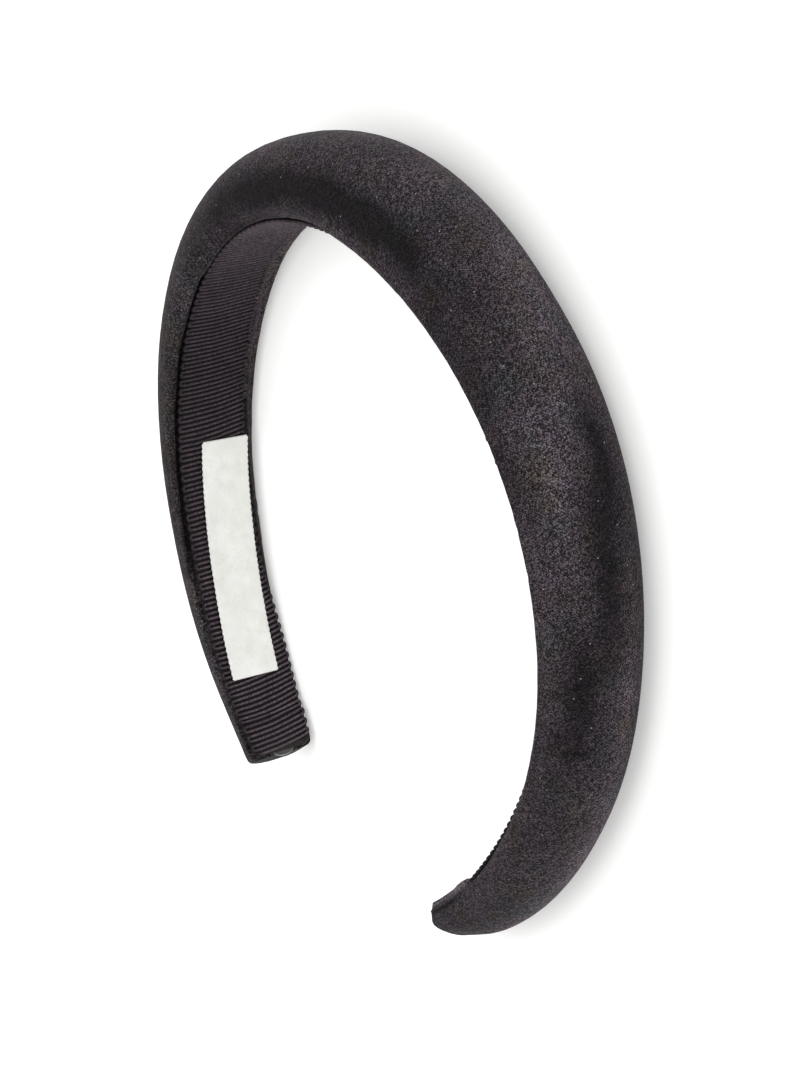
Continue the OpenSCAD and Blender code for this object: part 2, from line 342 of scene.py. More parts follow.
# Padded cover, filled by simulation, then shaped where the velvet turns to the inner face. Three
# numbers in brackets are a place along the band, from and to or middle and reach in mm, and how much.
velvetPad = {
    "columns": 56,
    "rays": 240,
    "heart": 0.4,  # share of the thickness at which the rays start
    "ringPitch": 1.3 * mm,
    "endRings": [1.2, 0.9, 0.6, 0.3, 0.1, 0.02],  # mm before the end of each arm
    "closing": (0.35, 0.7),  # sizes of the two rings that close each end

    "simScale": 10,  # the cloth solver is steadier on a larger copy
    "inset": 0.45 * mm,  # the cover swells back out by about as much
    "pressure": 6.0,
    "mass": 0.1,
    "frames": 20,
    "cap": 0.75 * mm,  # most that it may swell
    "heldBelow": 0.5 * mm,  # the inner face is glued down
    "proud": (-0.14 * mm, 0.2 * mm),  # how far it may stand off its planned surface
    "tight": (169, 178.8),  # it is stretched tight towards each tip
    "fill": 0.95,

    "tips": (140, 165),  # where the edges turn as square as at the tips
    "edgeShare": 0.25,  # how much the crown's upper edges are drawn square
    "tipShare": 0.8,  # likewise all edges at the tips
    "edgeReach": 1.8 * mm,
    "edgeOut": 0.3 * mm,
    "endReach": 2.5 * mm,  # of the inner face's edge at the end
    "endPast": 0.2 * mm,
    "cornerReach": 3.0 * mm,  # of the tips' upper corners
    "cornerPast": 0.3 * mm,
    "cornerShare": (0.75, 0.3),  # of the left tip and of the right
    "closed": (164, 174, 1.0 * mm),  # both tips' inner edges lie closer to the ribbon
    "closedOut": (0, 1.5),
    "crownSoft": (-25, 14, 1.1 * mm),  # the crown's inner edge is rounder on the left

    "rollWidth": 1.0 * mm,  # of the soft roll along both edges of the ribbon
    "rollShare": 0.6,  # most of the margin beside the ribbon that is before its top
    "groove": 0.65 * mm,  # left open between the ribbon and the roll, in shade
    "grooveShare": 0.25,  # most of that margin
    "lowerGroove": -0.5 * mm,  # the lower roll starts under the ribbon's edge
    "rightOver": (157, 164, 1.0 * mm),  # the upper roll laps over the ribbon at the right tip

    "rightNarrow": (145, 165, 1.0 * mm),  # the right tip's upper edge lies lower
    "rightShort": (150, 180, band["rightShort"]),
    "rightFull": (171, 180, 1.35 * mm),  # the right end bulges past the ribbon's
    "rightFullOut": (2.6, 1.9),
    "rightTrim": (176, 182, 0.4 * mm),  # its inner corner is cut back
    "rightTrimOut": (0, 1.5),
    "leftWide": (-155, 22, 0.6 * mm),  # the left arm's upper edge is higher near its tip
    "crownFull": (-25, 35, 0.45 * mm),  # the crown is thicker on the left
    "risen": (-55, 22, 1.6 * mm),  # its lower edge bends up near the crown on the left

    "gather": 0.1 * mm,  # small pulls where the velvet goes under the ribbon
    "gatherPitch": (4.2 * mm, 5 * mm),
    "gatherFade": 3.2 * mm,
    "uneven": 0.12 * mm,
    "unevenSize": 16 * mm,
    "unevenTurn": 1.4,  # uneven patches in a radian round the section
    "floorGap": 0.02 * mm,
}

# Height of that roll, fuller on the left arm: mm along the band, mm over the upper edge of the
# ribbon, mm over its lower edge
rollHeights = [
    (-184, 0.2, 0.0),
    (-165, 0.3, 0.1),
    (-145, 0.7, 0.5),
    (-115, 1.7, 1.2),
    (-80, 1.8, 1.2),
    (-60, 1.6, 0.6),
    (-45, 0.9, 0.1),
    (-30, 0.2, 0.3),
    (-5, 0.0, 0.1),
    (110, 0.1, 0.6),
    (150, 0.1, 0.3),
    (158, 0.3, 0.2),
    (161, 1.1, 0.2),
    (164, 2.0, 0.1),
    (168, 2.1, 0.1),
    (172, 1.8, 0.1),
    (183, 1.5, 0.0),
]

# Where the pile is painted lighter or darker, partly as patches where it lies another way and partly as
# painted light and shade, such as the lit ridge of the near arm, painted sheen along its outer rim and
# painted light on the lower margins: mm along the band and reach, degrees round it from the upper edge and
# reach, and how much
napAndLightPatches = [
    (62, 13, 100, 22, -0.4),
    (79, 13, 76, 22, -0.34),
    (96, 13, 38, 28, -0.27),
    (113, 15, 30, 28, -0.16),
    (128, 18, 50, 28, 0.06),
    (30, 16, 108, 24, 0.38),
    (47, 14, 74, 20, 0.28),
    (63, 13, 38, 18, 0.32),
    (80, 12, 4, 18, 0.16),
    (-24, 22, 5, 19, -0.42),
    (6, 20, 13, 20, -0.42),
    (40, 18, -5, 16, -0.24),
    (-48, 10, -38, 12, -0.3),
    (-50, 20, -8, 18, -0.22),
    (-158, 20, -14, 14, 0.14),
    (0, 26, 102, 26, 0.18),
    (-30, 18, 60, 20, 0.16),
    (108, 18, 104, 18, 0.25),
    (126, 12, 112, 20, 0.25),
    (142, 14, 98, 24, 0.42),
    (161, 13, 78, 24, 0.38),
    (-60, 22, -150, 18, 0.3),
    (-165, 18, -158, 20, 0.3),
    (181, 9, -60, 24, 0.3),
    (178, 9, 5, 30, -0.08),
    (-12, 20, -26, 10, 0.3),
]

# Painted shade and light on the pile along the ribbon and at the right tip, and the flat chart of the cover
# that its grain follows
pileLightShadeAndChart = {
    # painted shade in the groove beside the ribbon; on the right arm it turns to painted light
    "grooveShade": 0.7,  # darker where the velvet dips to the ribbon, less so on both arms
    "grooveShadeRight": (60, 120, 1.0),
    "grooveShadeLeft": (-130, -155, 0.45),
    "grooveShadeAcross": (0.2, 0.6),
    "sidelong": (-60, -85),  # the left arm's upper edge, seen sidelong, from here
    "sidelongEnd": (-120, -145),  # to here
    # there a faint painted light, and painted shade nearer the ribbon's edge
    "sidelongLift": 0.04,
    "sidelongShade": (0.8, 1.2, 0.3),
    # painted highlight on the right tip's roll, and painted shade in the crease under it
    "tipRoll": (160, 166),  # the right tip's roll catches the light over a dark crease
    "tipHighlight": (-1.4, 0.8, 1.2),
    "tipCreaseShade": (0.3, 0.5, 0.6),
    "tipDulled": (168, 177),
    "heart": 0.35,  # middle of the section, as a share of the thickness
    "chartAlong": 1.12,  # the outer face is longer than the inner one
    "chartAround": 0.42,  # share of the width to a radian
}


def treeOf(mesh):
    return BVHTree.FromPolygons([v.co for v in mesh.vertices], [p.vertices for p in mesh.polygons])


# Rings round the solid cover, square to the arch. A column keeps its place in the section all along.
def coverRings(solid):
    look = velvetPad
    tree = treeOf(solid)
    ends = band["arm"] - np.array(look["endRings"]) * mm
    count = round(2 * ends[0] / look["ringPitch"])
    stations = np.concatenate([-ends[:0:-1], np.linspace(-ends[0], ends[0], count + 1), ends[1:]])

    def loopAt(s, turns):
        thick = float(tapered(band["padThickness"], "thicknessKept", s))
        wide = float(tapered(band["padWidth"], "widthKept", s))
        heart = look["heart"] * thick
        centre = bandPoint(s, heart, 0)
        aims = bandPoint(s, heart - thick * np.cos(turns), wide * np.sin(turns)) - centre
        return np.array([tree.ray_cast(Vector(centre), Vector(aim))[0] for aim in aims])

    def closing(ring):
        return [ring.mean(0) + (ring - ring.mean(0)) * share for share in look["closing"]]

    turns = np.linspace(0, 2 * math.pi, look["rays"])
    run = np.cumsum(np.linalg.norm(np.diff(loopAt(0, turns), axis=0), axis=1))
    even = np.interp(np.linspace(0, run[-1], look["columns"], endpoint=False), [0, *run], turns)
    rings = [loopAt(s, even) for s in stations]
    return np.array([*closing(rings[0]), *rings, *reversed(closing(rings[-1]))])


# Swells the enlarged cover by cloth simulation, and gives its points at their real size
def swollen(pad, start):
    look = velvetPad
    s, out, up = bandPlace(start)
    held = pad.vertex_groups.new(name="held")
    held.add(np.nonzero(out < look["heldBelow"])[0].tolist(), 1.0, "REPLACE")
    cloth = pad.modifiers.new("fill", "CLOTH")
    cloth.settings.quality = 5
    cloth.settings.mass = look["mass"]
    cloth.settings.use_pressure = True
    cloth.settings.uniform_pressure_force = look["pressure"]
    cloth.settings.effector_weights.gravity = 0
    cloth.settings.vertex_group_mass = "held"
    cloth.collision_settings.use_collision = False
    for frameNumber in range(1, look["frames"] + 1):
        scene.frame_set(frameNumber)
    applied(pad)
    scene.frame_set(1)
    moved = coordsOf(pad.data) / look["simScale"] - start
    far = np.linalg.norm(moved, axis=1)
    print("velvet pad swelled by", round(float(np.median(far)) / mm, 2), "mm, at most",
          round(float(far.max()) / mm, 2), "mm")
    return start + moved * np.minimum(1, look["cap"] / np.maximum(far, 1e-9))[:, None]


# Lets the filled cover stand off the solid's surface a little, and not at all near the tips
def keptNear(co, solid):
    tree = treeOf(solid)
    hits = [tree.find_nearest(Vector(p)) for p in co]
    near, normals = np.array([h[0] for h in hits]), np.array([h[1] for h in hits])
    s, out, up = bandPlace(co)
    free = (1 - rising(np.abs(s), *velvetPad["tight"])) * rising(out, 0, 2)
    off = np.clip(((co - near) * normals).sum(1), *velvetPad["proud"]) * free
    return near + normals * off[:, None]


# Moves a and b towards a corner that the real cover has sharper
def drawn(a, b, corner, reach, share):
    da, db = corner[0] - a, corner[1] - b
    pull = share * np.exp(-(da * da + db * db) / reach ** 2)
    return a + da * pull, b + db * pull


# Corners, roll and pulls along the ribbon, a slightly uneven filling, and flat where it rests
def shapePad(mesh):
    look = velvetPad
    co, normals = coordsOf(mesh), coordsOf(mesh, "normal")
    s, out, up = bandPlace(co)
    padHalf = tapered(band["padWidth"], "widthKept", s) / 2
    upper = rising(up, 0, 5)

    # edges and ends as square as the photo's
    nearTip = rising(np.abs(s), *look["tips"])
    share = np.where(up > 0, look["edgeShare"], 0) * (1 - nearTip) + look["tipShare"] * nearTip
    edge = padHalf, look["edgeOut"] * (1 - nearTip)
    wide, newOut = drawn(np.abs(up), out, edge, look["edgeReach"], share)
    end = band["arm"] + look["endPast"], 0
    length, newOut = drawn(np.abs(s), newOut, end, look["endReach"], look["tipShare"] * nearTip)
    corner = band["arm"] + look["cornerPast"], padHalf
    share = np.where(s < 0, *look["cornerShare"]) * (up > 0)
    length, newUp = drawn(length, np.sign(up) * wide, corner, look["cornerReach"], share)

    # closer to the ribbon at the tips, and rounder at the crown
    closer = rising(length, *look["closed"]) * (out < 3 * mm) * closeTo(newOut, *look["closedOut"])
    newOut = np.maximum(np.minimum(newOut, 0), newOut - closer)
    soft = closeTo(s, *look["crownSoft"]) * rising(up, 8, 11) * (1 - rising(out, 1.5, 5.5))
    newOut = newOut + soft

    # the roll along the ribbon
    ribbonHalf = ribbonWide(s) / 2
    across = np.abs(newUp - ribbonMiddle(s)) - ribbonHalf
    margin = padHalf - ribbonHalf
    stops = np.array(rollHeights) * mm
    height = np.where(up > 0, *(np.interp(s, stops[:, 0], stops[:, i]) for i in (1, 2)))
    groove = np.minimum(look["groove"], look["grooveShare"] * margin) - rising(s, *look["rightOver"])
    groove = np.where(up > 0, groove, look["lowerGroove"])
    rollAt = np.minimum(groove + look["rollWidth"], look["rollShare"] * margin)
    roll = np.exp(-(np.maximum(across - rollAt, 0) / look["rollWidth"]) ** 2)
    newOut = newOut - height * roll * rising(across - groove, 0, 0.5) * (1 - rising(out, 2, 4))

    # where the photo's band isn't even
    newUp = newUp - rising(s, *look["rightNarrow"]) * upper
    newUp = newUp + closeTo(s, *look["leftWide"]) * upper
    newUp = newUp + closeTo(s, *look["risen"]) * rising(up, 0, -6)
    newOut = newOut + closeTo(s, *look["crownFull"]) * rising(out, 6, 14)
    newS = np.sign(s) * length - rising(s, *look["rightShort"])
    newS = newS + rising(s, *look["rightFull"]) * closeTo(newOut, *look["rightFullOut"])
    trim = rising(s, *look["rightTrim"]) * upper * closeTo(newOut, *look["rightTrimOut"])
    newUp, newS = newUp - trim, newS - trim

    # pulls at the ribbon and an uneven filling
    pitch, height = look["gatherPitch"]
    pulls = softNoise(s / pitch + np.sign(up) * 40, up / height, seed=4) * (out < 6 * mm)
    pulls = pulls * np.exp(-np.maximum(across, 0) / look["gatherFade"]) * rising(across, 0, 0.8)
    turn = (np.arctan2(out - 4 * mm, up) + 4) * look["unevenTurn"]
    uneven = softNoise(s / look["unevenSize"], turn, seed=9) * rising(out, 1, 4)
    raised = look["gather"] * pulls + look["uneven"] * uneven
    co = co + bandPoint(newS, newOut, newUp) - bandPoint(s, out, up) + normals * raised[:, None]
    co[:, 2] = np.maximum(co[:, 2], look["floorGap"])
    setCoords(mesh, co)
    return across


# How the pile lies, with painted light and shade on it, and a flat chart of the cover in real mm for its
# grain. Across is the distance from the ribbon's edge.
def markNapAndLight(mesh, across):
    look = pileLightShadeAndChart
    s, out, up = bandPlace(coordsOf(mesh))
    fromHeart = out - look["heart"] * tapered(band["padThickness"], "thicknessKept", s)
    angle = np.degrees(np.arctan2(fromHeart, up))
    lieAndLight = np.zeros(len(s))
    for along, reach, turn, spread, lift in napAndLightPatches:
        lieAndLight += lift * closeTo(s, along, reach) * np.exp(-((angle - turn) / spread) ** 2)
    grooveShade = look["grooveShade"] - rising(s, *look["grooveShadeRight"]) - rising(s, *look["grooveShadeLeft"])
    lieAndLight -= grooveShade * closeTo(across, *look["grooveShadeAcross"]) * (out < 0.5 * mm) * (out > -1 * mm)
    sidelong = rising(s, *look["sidelong"]) * (1 - rising(s, *look["sidelongEnd"])) * (up > 0)
    lift = look["sidelongLift"] - closeTo(across, *look["sidelongShade"])
    lieAndLight += sidelong * (out < 4 * mm) * lift
    bright = closeTo(out, *look["tipHighlight"]) * (1 - rising(s, *look["tipDulled"]))
    lieAndLight += rising(s, *look["tipRoll"]) * (up > 0) * (bright - closeTo(out, *look["tipCreaseShade"]))
    markPoints(mesh, "napAndPaintedLight", lieAndLight)
    around = np.arctan2(up, fromHeart) * tapered(band["padWidth"], "widthKept", s)
    chart = [s * look["chartAlong"], around * look["chartAround"], 0 * s]
    markPoints(mesh, "pilePlace", np.stack(chart, -1))


def makeVelvetPad(material):
    look = velvetPad
    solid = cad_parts["velvet_pad"].data
    pad = skin("velvetPad", coverRings(solid))
    inset = coordsOf(pad.data) - coordsOf(pad.data, "normal") * look["inset"]
    setCoords(pad.data, inset * look["simScale"])
    start = coordsOf(pad.data) / look["simScale"]
    filled = swollen(pad, start)
    setCoords(pad.data, filled)
    smooth = pad.modifiers.new("finer", "SUBSURF")
    smooth.levels = smooth.render_levels = 1
    applied(pad)
    setCoords(pad.data, keptNear(coordsOf(pad.data), solid))
    markNapAndLight(pad.data, shapePad(pad.data))
    pad.data.shade_smooth()
    finishPiece(pad, "velvet_pad", material)


# Grosgrain: a stiff ribbon whose thick weft threads stand up as round ribs across it. Numbers in
# brackets are from and to in mm, along the band or before the ribbon's end, and how much.
ribbon = {
    "gap": 0.12 * mm,
    "thickness": 0.9 * mm,
    "cloth": 0.24 * mm,  # ground weave under the ribs
    "clothStep": 1.1 * mm,
    "clothColumns": 17,
    "pitch": 1.045 * mm,  # from rib to rib, as the photo shows
    "thread": 0.36 * mm,  # radius of a rib
    "inset": 0.2 * mm,  # from the end of each arm
    "corner": 2.0 * mm,
    "fold": 9 * mm,  # turned under at each end
    "foldStep": (9, 7),  # where that makes it thicker
    "pressed": (8, 4, 0.45),  # share of its second layer that is lost
    "noseFall": (1.8, 0.6, 0.6),  # likewise of the room for the ribs
    "nose": 0.6 * mm,  # its end is rounded over that much
    "bed": 0.96 * mm,  # for the core's end
    "bedEdge": (4, 4.5),  # from the ribbon's middle
    "back": 0.14 * mm,  # its back lies that far off the inner face
    "leastCloth": 0.1 * mm,
    "endCrest": (1.8, 0.8, 0.55),  # how pale the plain end is
    "tuckedAbove": 0.4 * mm,  # of its edges, under the rolls of the left arm
    "tuckedBelow": 1.1 * mm,
    "tuckedRisen": (-55, 22, 1.2 * mm),  # and more below, where the cover's lower edge is risen
    "tuckedLeft": ((10, -10), (-138, -164)),  # where that starts and where it ends
    "tuckedRight": ((158, 164, 0.95 * mm), (138, 154, 0.95 * mm)),  # above and below
    "rightSunk": (60, 120, 0.35 * mm),  # deeper in the right arm's cover
    "rightLower": ((60, 120, 0.6 * mm), (145, 165, 0.6 * mm)),  # and lower, in two steps
}
leftEnd = band["arm"] - ribbon["inset"]
rightEnd = leftEnd - band["rightShort"]


# How much of the ribbon's upper and lower edge lies under the cover at s
def tuckedAt(s):
    start, end = ribbon["tuckedLeft"]
    left = rising(s, *start) * (1 - rising(s, *end))
    above, below = (rising(s, *span) for span in ribbon["tuckedRight"])
    leftBelow = ribbon["tuckedBelow"] + closeTo(s, *ribbon["tuckedRisen"])
    return above + ribbon["tuckedAbove"] * left, below + leftBelow * left


# Width of ribbon that shows at s, and where its middle runs
def ribbonWide(s):
    return tapered(band["ribbonWidth"], "ribbonKept", s) - sum(tuckedAt(s))


def ribbonMiddle(s):
    above, below = tuckedAt(s)
    return (below - above) / 2 - sum(rising(s, *step) for step in ribbon["rightLower"])


# How far s lies before the ribbon's end on its own arm
def beforeEnd(s):
    return np.where(np.asarray(s) < 0, leftEnd, rightEnd) - np.abs(s)


# How far the ribbon's face lies from the pad at s: deeper where its end is turned under
def ribbonFace(s):
    before = beforeEnd(s)
    layers = 1 + rising(before, *ribbon["foldStep"]) * (1 - rising(before, *ribbon["pressed"]))
    return rising(s, *ribbon["rightSunk"]) - ribbon["gap"] - ribbon["thickness"] * layers


def ribbonHalfAt(s):
    into = np.clip(1 - beforeEnd(s) / ribbon["corner"], 0, 1)
    return ribbonWide(s) / 2 - ribbon["corner"] * (1 - np.sqrt(1 - into * into))


# Ground weave as one strip. Where its end is turned under, both layers are one thickness, and the
# core's end lies in a shallow bed.
def makeRibbonCloth(material):
    flat = np.arange(0, rightEnd - ribbon["fold"], ribbon["clothStep"])
    arms = []
    for end in (leftEnd, rightEnd):
        turned = np.linspace(end - ribbon["fold"], end - ribbon["corner"], 14)
        rounded = end - ribbon["corner"] * (1 - np.sin(np.linspace(0, math.pi / 2, 7)[1:]))
        arms.append(np.concatenate([flat[flat < turned[0] - 0.2 * mm], turned, rounded]))
    columns = np.linspace(-1, 1, ribbon["clothColumns"])
    rings = []
    for s in np.concatenate([-arms[0][:0:-1], arms[1]]):
        before = beforeEnd(s)
        room = (2 * ribbon["thread"] - ribbon["cloth"]) * (1 - rising(before, *ribbon["noseFall"]))
        upper = columns * ribbonHalfAt(s)
        inBed = rising(before, *ribbon["foldStep"]) * (1 - rising(np.abs(upper), *ribbon["bedEdge"]))
        top = -ribbon["back"] - inBed * ribbon["bed"]
        bottom = np.minimum(ribbonFace(s) + room, top - ribbon["leastCloth"])
        middle, thick = (top + bottom) / 2, (top - bottom) / 2
        nose = max(0, 1 - before / ribbon["nose"])
        rounding = np.sqrt(1 - 0.96 * np.abs(columns) ** 12) * math.sqrt(1 - 0.8 * nose * nose)
        upper = upper + ribbonMiddle(s)
        faces = [bandPoint(s, middle + side * thick * rounding, upper) for side in (-1, 1)]
        rings.append(np.concatenate([faces[0], faces[1][::-1]]))
    cloth = skin("grosgrainCloth", np.array(rings))
    s, out, up = markPlace(cloth.data)
    # painted shade: the ground is painted as dark as the shade between the ribs, and paler towards its plain
    # end as painted light
    markPoints(cloth.data, "ribCrestLight", rising(beforeEnd(s), *ribbon["endCrest"]))
    return finishPiece(cloth, "grosgrain_lining", material)


# The weft thread, by the names of its tree's inputs
weftThread = {
    "Points per Rib": 12,
    "Thread Radius": ribbon["thread"],
    "Thread Sides": 8,
    "Turn Reach": 0.34 * mm,  # how far a rib's turn stands out at the edge
    "Slant": -0.14,
    "Bow": 0.45 * mm,
    "Wander": 0.34 * mm,
    "Seed": 3.0,
}

# How the ribs are painted along the band, with a painted highlight on their crests and painted shade on
# their sides: mm along it, shade left in the grooves, paleness of the crests
ribLightAndShade = [
    (-184, 0.0, 0.92),
    (-150, 0.15, 0.94),
    (-112, 0.62, 0.78),
    (-94, 0.72, 0.72),
    (-70, 0.82, 0.79),
    (-52, 0.92, 0.86),
    (0, 0.65, 1.0),
    (165, 0.4, 0.9),
    (176, 0.9, 1.35),
    (184, 0.9, 1.35),
]


# Tree that lays one weft thread to and fro across the ribbon, turning at its edges
def makeWeftTree():
    tree = bpy.data.node_groups.new("weftThread", "GeometryNodeTree")
    add = functools.partial(addNode, tree)
    asked = {"Geometry": "Geometry", "Ribs": "Int", "Points per Rib": "Int", "Rib Pitch": "Float",
             "First Rib": "Float", "Thread Radius": "Float", "Thread Sides": "Int",
             "Turn Reach": "Float", "Slant": "Float", "Bow": "Float", "Wander": "Float",
             "Seed": "Float", "Material": "Material"}
    for name, kind in asked.items():
        tree.interface.new_socket(name, in_out="INPUT", socket_type="NodeSocket" + kind)
    tree.interface.new_socket("Geometry", in_out="OUTPUT", socket_type="NodeSocketGeometry")
    given = add("NodeGroupInput").outputs

    # which rib a point is on, and how far along it from 0 to 1
    count = add("MULTIPLY", [given["Ribs"], given["Points per Rib"]])
    line = add("GeometryNodeMeshLine", {"Count": count, "Offset": (0, 0, 1 * mm)})
    counted = add("ADD", [add("GeometryNodeInputIndex"), 0.5])
    counted = add("DIVIDE", [counted, given["Points per Rib"]])
    rib = add("FLOOR", [counted])
    onRib = add("SUBTRACT", [counted, rib])

    # a rib comes out of one turn, runs straight over and goes into the next turn
    turnIn = add("ShaderNodeMapRange", [onRib, 0, 0.25, 0, math.pi / 2])
    straight = add("ShaderNodeMapRange", [onRib, 0.25, 0.75, -1, 1])
    turnOut = add("ShaderNodeMapRange", [onRib, 0.75, 1, 0, math.pi / 2])
    shift = add("SUBTRACT", [add("SINE", [turnIn]), add("COSINE", [turnOut])])
    shift = add("MULTIPLY_ADD", [shift, 0.5, rib])
    ribAt = add("MULTIPLY_ADD", [shift, given["Rib Pitch"], given["First Rib"]])

    # across the ribbon, as far as it is wide there
    path = add("GeometryNodeMeshToCurve", {"Mesh": given["Geometry"]})
    halfMark = add("GeometryNodeInputNamedAttribute", {"Name": "half"}, data_type="FLOAT")
    half = add("GeometryNodeSampleCurve", {"Curves": path, "Value": halfMark, "Length": ribAt},
               mode="LENGTH", data_type="FLOAT")
    reach = add("SUBTRACT", [half, given["Turn Reach"]])
    turned = add("SUBTRACT", [add("SINE", [turnOut]), add("COSINE", [turnIn])])
    turned = add("MULTIPLY", [turned, given["Turn Reach"]])
    across = add("MULTIPLY_ADD", [straight, reach, turned])
    side = add("MULTIPLY_ADD", [add("MODULO", [rib, 2]), 2, -1])
    across = add("MULTIPLY", [across, side])

    # along it, with a slant, a bow and a little wander
    along = add("MULTIPLY_ADD", [across, given["Slant"], ribAt])
    bow = add("DIVIDE", [across, add("MAXIMUM", [half, 1 * mm])])
    along = add("MULTIPLY_ADD", [add("MULTIPLY", [bow, bow]), given["Bow"], along])
    noiseX, noiseY = add("MULTIPLY", [ribAt, 90]), add("MULTIPLY", [across, 120])
    noisePlace = add("ShaderNodeCombineXYZ", [noiseX, noiseY, given["Seed"]])
    noise = add("ShaderNodeTexNoise", {"Vector": noisePlace, "Scale": 1, "Detail": 2})
    noise = add("MULTIPLY_ADD", [noise, 2, -1])
    along = add("MULTIPLY_ADD", [noise, given["Wander"], along])

    # the thread itself
    acrossMark = add("GeometryNodeInputNamedAttribute", {"Name": "across"}, data_type="FLOAT_VECTOR")
    sampled = add("GeometryNodeSampleCurve", {"Curves": path, "Value": acrossMark, "Length": along},
                  mode="LENGTH", data_type="FLOAT_VECTOR").outputs
    place = add("ShaderNodeVectorMath", [sampled["Value"], across, sampled["Position"]],
                operation="MULTIPLY_ADD")
    laid = add("GeometryNodeSetPosition", {"Geometry": line, "Position": place})
    thread = add("GeometryNodeMeshToCurve", {"Mesh": laid})
    section = add("GeometryNodeCurvePrimitiveCircle", {
        "Resolution": given["Thread Sides"], "Radius": given["Thread Radius"]})
    tube = add("GeometryNodeCurveToMesh", {
        "Curve": thread, "Profile Curve": section, "Fill Caps": True})
    smooth = add("GeometryNodeSetShadeSmooth", {"Geometry": tube})
    plain = add("GeometryNodeRealizeInstances", {"Geometry": smooth})
    dressed = add("GeometryNodeSetMaterial", {"Geometry": plain, "Material": given["Material"]})
    add("NodeGroupOutput", [dressed])
    return tree


def makeWeft(material):
    thread, step = ribbon["thread"], 1 * mm
    left, right = leftEnd - thread, rightEnd - thread
    s = np.concatenate([-np.arange(left, 0, -step), np.arange(0, right - 0.3 * step, step), [right]])
    points, beside = (
        bandPoint(s, ribbonFace(s) + thread, ribbonMiddle(s) + over) for over in (0, 1 * mm))
    mesh = bpy.data.meshes.new("weftPath")
    mesh.from_pydata(points.tolist(), [(i, i + 1) for i in range(len(points) - 1)], [])
    markPoints(mesh, "half", ribbonHalfAt(s))
    markPoints(mesh, "across", (beside - points) / np.linalg.norm(beside - points, axis=1)[:, None])
    weft = newPiece("grosgrainRibs", mesh)
    length = float(np.linalg.norm(np.diff(points, axis=0), axis=1).sum())
    ribs = round(length / ribbon["pitch"])
    pitch = length / ribs
    asked = {**weftThread, "Ribs": ribs, "Rib Pitch": pitch, "First Rib": pitch / 2}
    asked["Material"] = material
    tree = weft.modifiers.new("weft thread", "NODES")
    tree.node_group = makeWeftTree()
    for socket in tree.node_group.interface.items_tree:
        if socket.in_out == "INPUT" and socket.name in asked:
            tree[socket.identifier] = asked[socket.name]
    applied(weft)
    print("grosgrain has", ribs, "ribs and", len(weft.data.polygons), "faces")

    # how pale each point is painted: a painted highlight on a rib's crest, less at its turns, painted shade
    # on its sides, and paler or darker along the band as the table says
    s, out, up = markPlace(weft.data)
    crest = np.clip((ribbonFace(s) + thread - out) / thread, 0, 1)
    fromEdge = ribbonHalfAt(s) - np.abs(up - ribbonMiddle(s))
    crest = crest * (0.65 + rising(fromEdge, 0, 0.5, 0.35))
    places, shades, palenesses = np.array(ribLightAndShade).T
    crest = np.maximum(crest, np.interp(s / mm, places, shades))
    markPoints(weft.data, "ribCrestLight", crest * np.interp(s / mm, places, palenesses))
    return finishPiece(weft, None)


# Grosgrain of fine polyester warp over a thick weft: matte ribs, painted paler along their crests as a
# painted highlight and darker between them as painted shade.
# The warp threads are 0.12 mm apart, drawn at 1 mm so that they show.
grosgrainLook = {
    "warp": (1 * mm, 0.08),  # pitch or size of each pattern, and how much it shows
    "grain": (0.36 * mm, 2.4),
    "cloud": (7 * mm, 0.5),
    "darker": -0.6,
    # the painted highlight on the crests
    "crestPower": 2.8,  # keeps the pale crests narrow
    "palest": 0.9,
    "bump": {"Strength": 0.12, "Distance": 0.06 * mm},
    "shader": {"Roughness": 0.7, "Specular IOR Level": 0.15, "Sheen Weight": 0.05,
               "Sheen Roughness": 0.5, "Sheen Tint": linear("#9a8f98")},
}


def makeGrosgrain(name, dark, light):
    look = grosgrainLook
    material, add = newMaterial(name)
    place = add("ShaderNodeAttribute", attribute_name="bandPlace").outputs["Vector"]
    warp = add("ShaderNodeTexWave", {
        "Vector": place, "Scale": waveScale(look["warp"][0]), "Distortion": 1.2, "Detail": 1,
        "Detail Scale": 400}, bands_direction="Z").outputs["Fac"]
    shown = add("MULTIPLY_ADD", [warp, look["warp"][1], look["darker"]])
    for (size, depth), detail in ((look["grain"], 1), (look["cloud"], 3)):
        noise = add("ShaderNodeTexNoise", {"Vector": place, "Scale": 1 / size, "Detail": detail})
        shown = add("MULTIPLY_ADD", [noise, depth, shown])
    crest = add("ShaderNodeAttribute", attribute_name="ribCrestLight").outputs["Fac"]
    shown = add("MULTIPLY", [add("POWER", [crest, look["crestPower"]]), shown])
    ramp = add("ShaderNodeValToRGB", [shown])
    for stop, position, colour in zip(ramp.color_ramp.elements, (0, look["palest"]), (dark, light)):
        stop.position, stop.color = position, linear(colour)
    bump = add("ShaderNodeBump", {"Height": warp, **look["bump"]})
    shader = add("ShaderNodeBsdfPrincipled", {"Base Color": ramp, "Normal": bump, **look["shader"]})
    add("ShaderNodeOutputMaterial", [shader])
    return material


# Blank woven label, laid a little askew on the left arm's ribbon
label = {
    "length": 51 * mm,
    "width": 10.5 * mm,
    "thickness": 0.34 * mm,
    "thinner": 0.55,  # share of it that is lost at the edges
    "middle": 140.5 * mm,  # from the crown, along the arm
    "drop": 0.8 * mm,
    "turn": 3.4,  # degrees
    "skew": 0.05,  # its ends are cut that much askew
    "steps": 136,
    "columns": 25,
    "pickPitch": 1.25 * mm,  # small bumps of the woven edge
    "pick": 0.09 * mm,
    "endReach": 0.5 * mm,  # its corners are rounded over this much
    "endTrim": 0.25 * mm,
    "wave": 0.07 * mm,
    "waveSize": (6 * mm, 4 * mm),
    "clear": 0.02 * mm,  # of the ribs, besides the gap
}


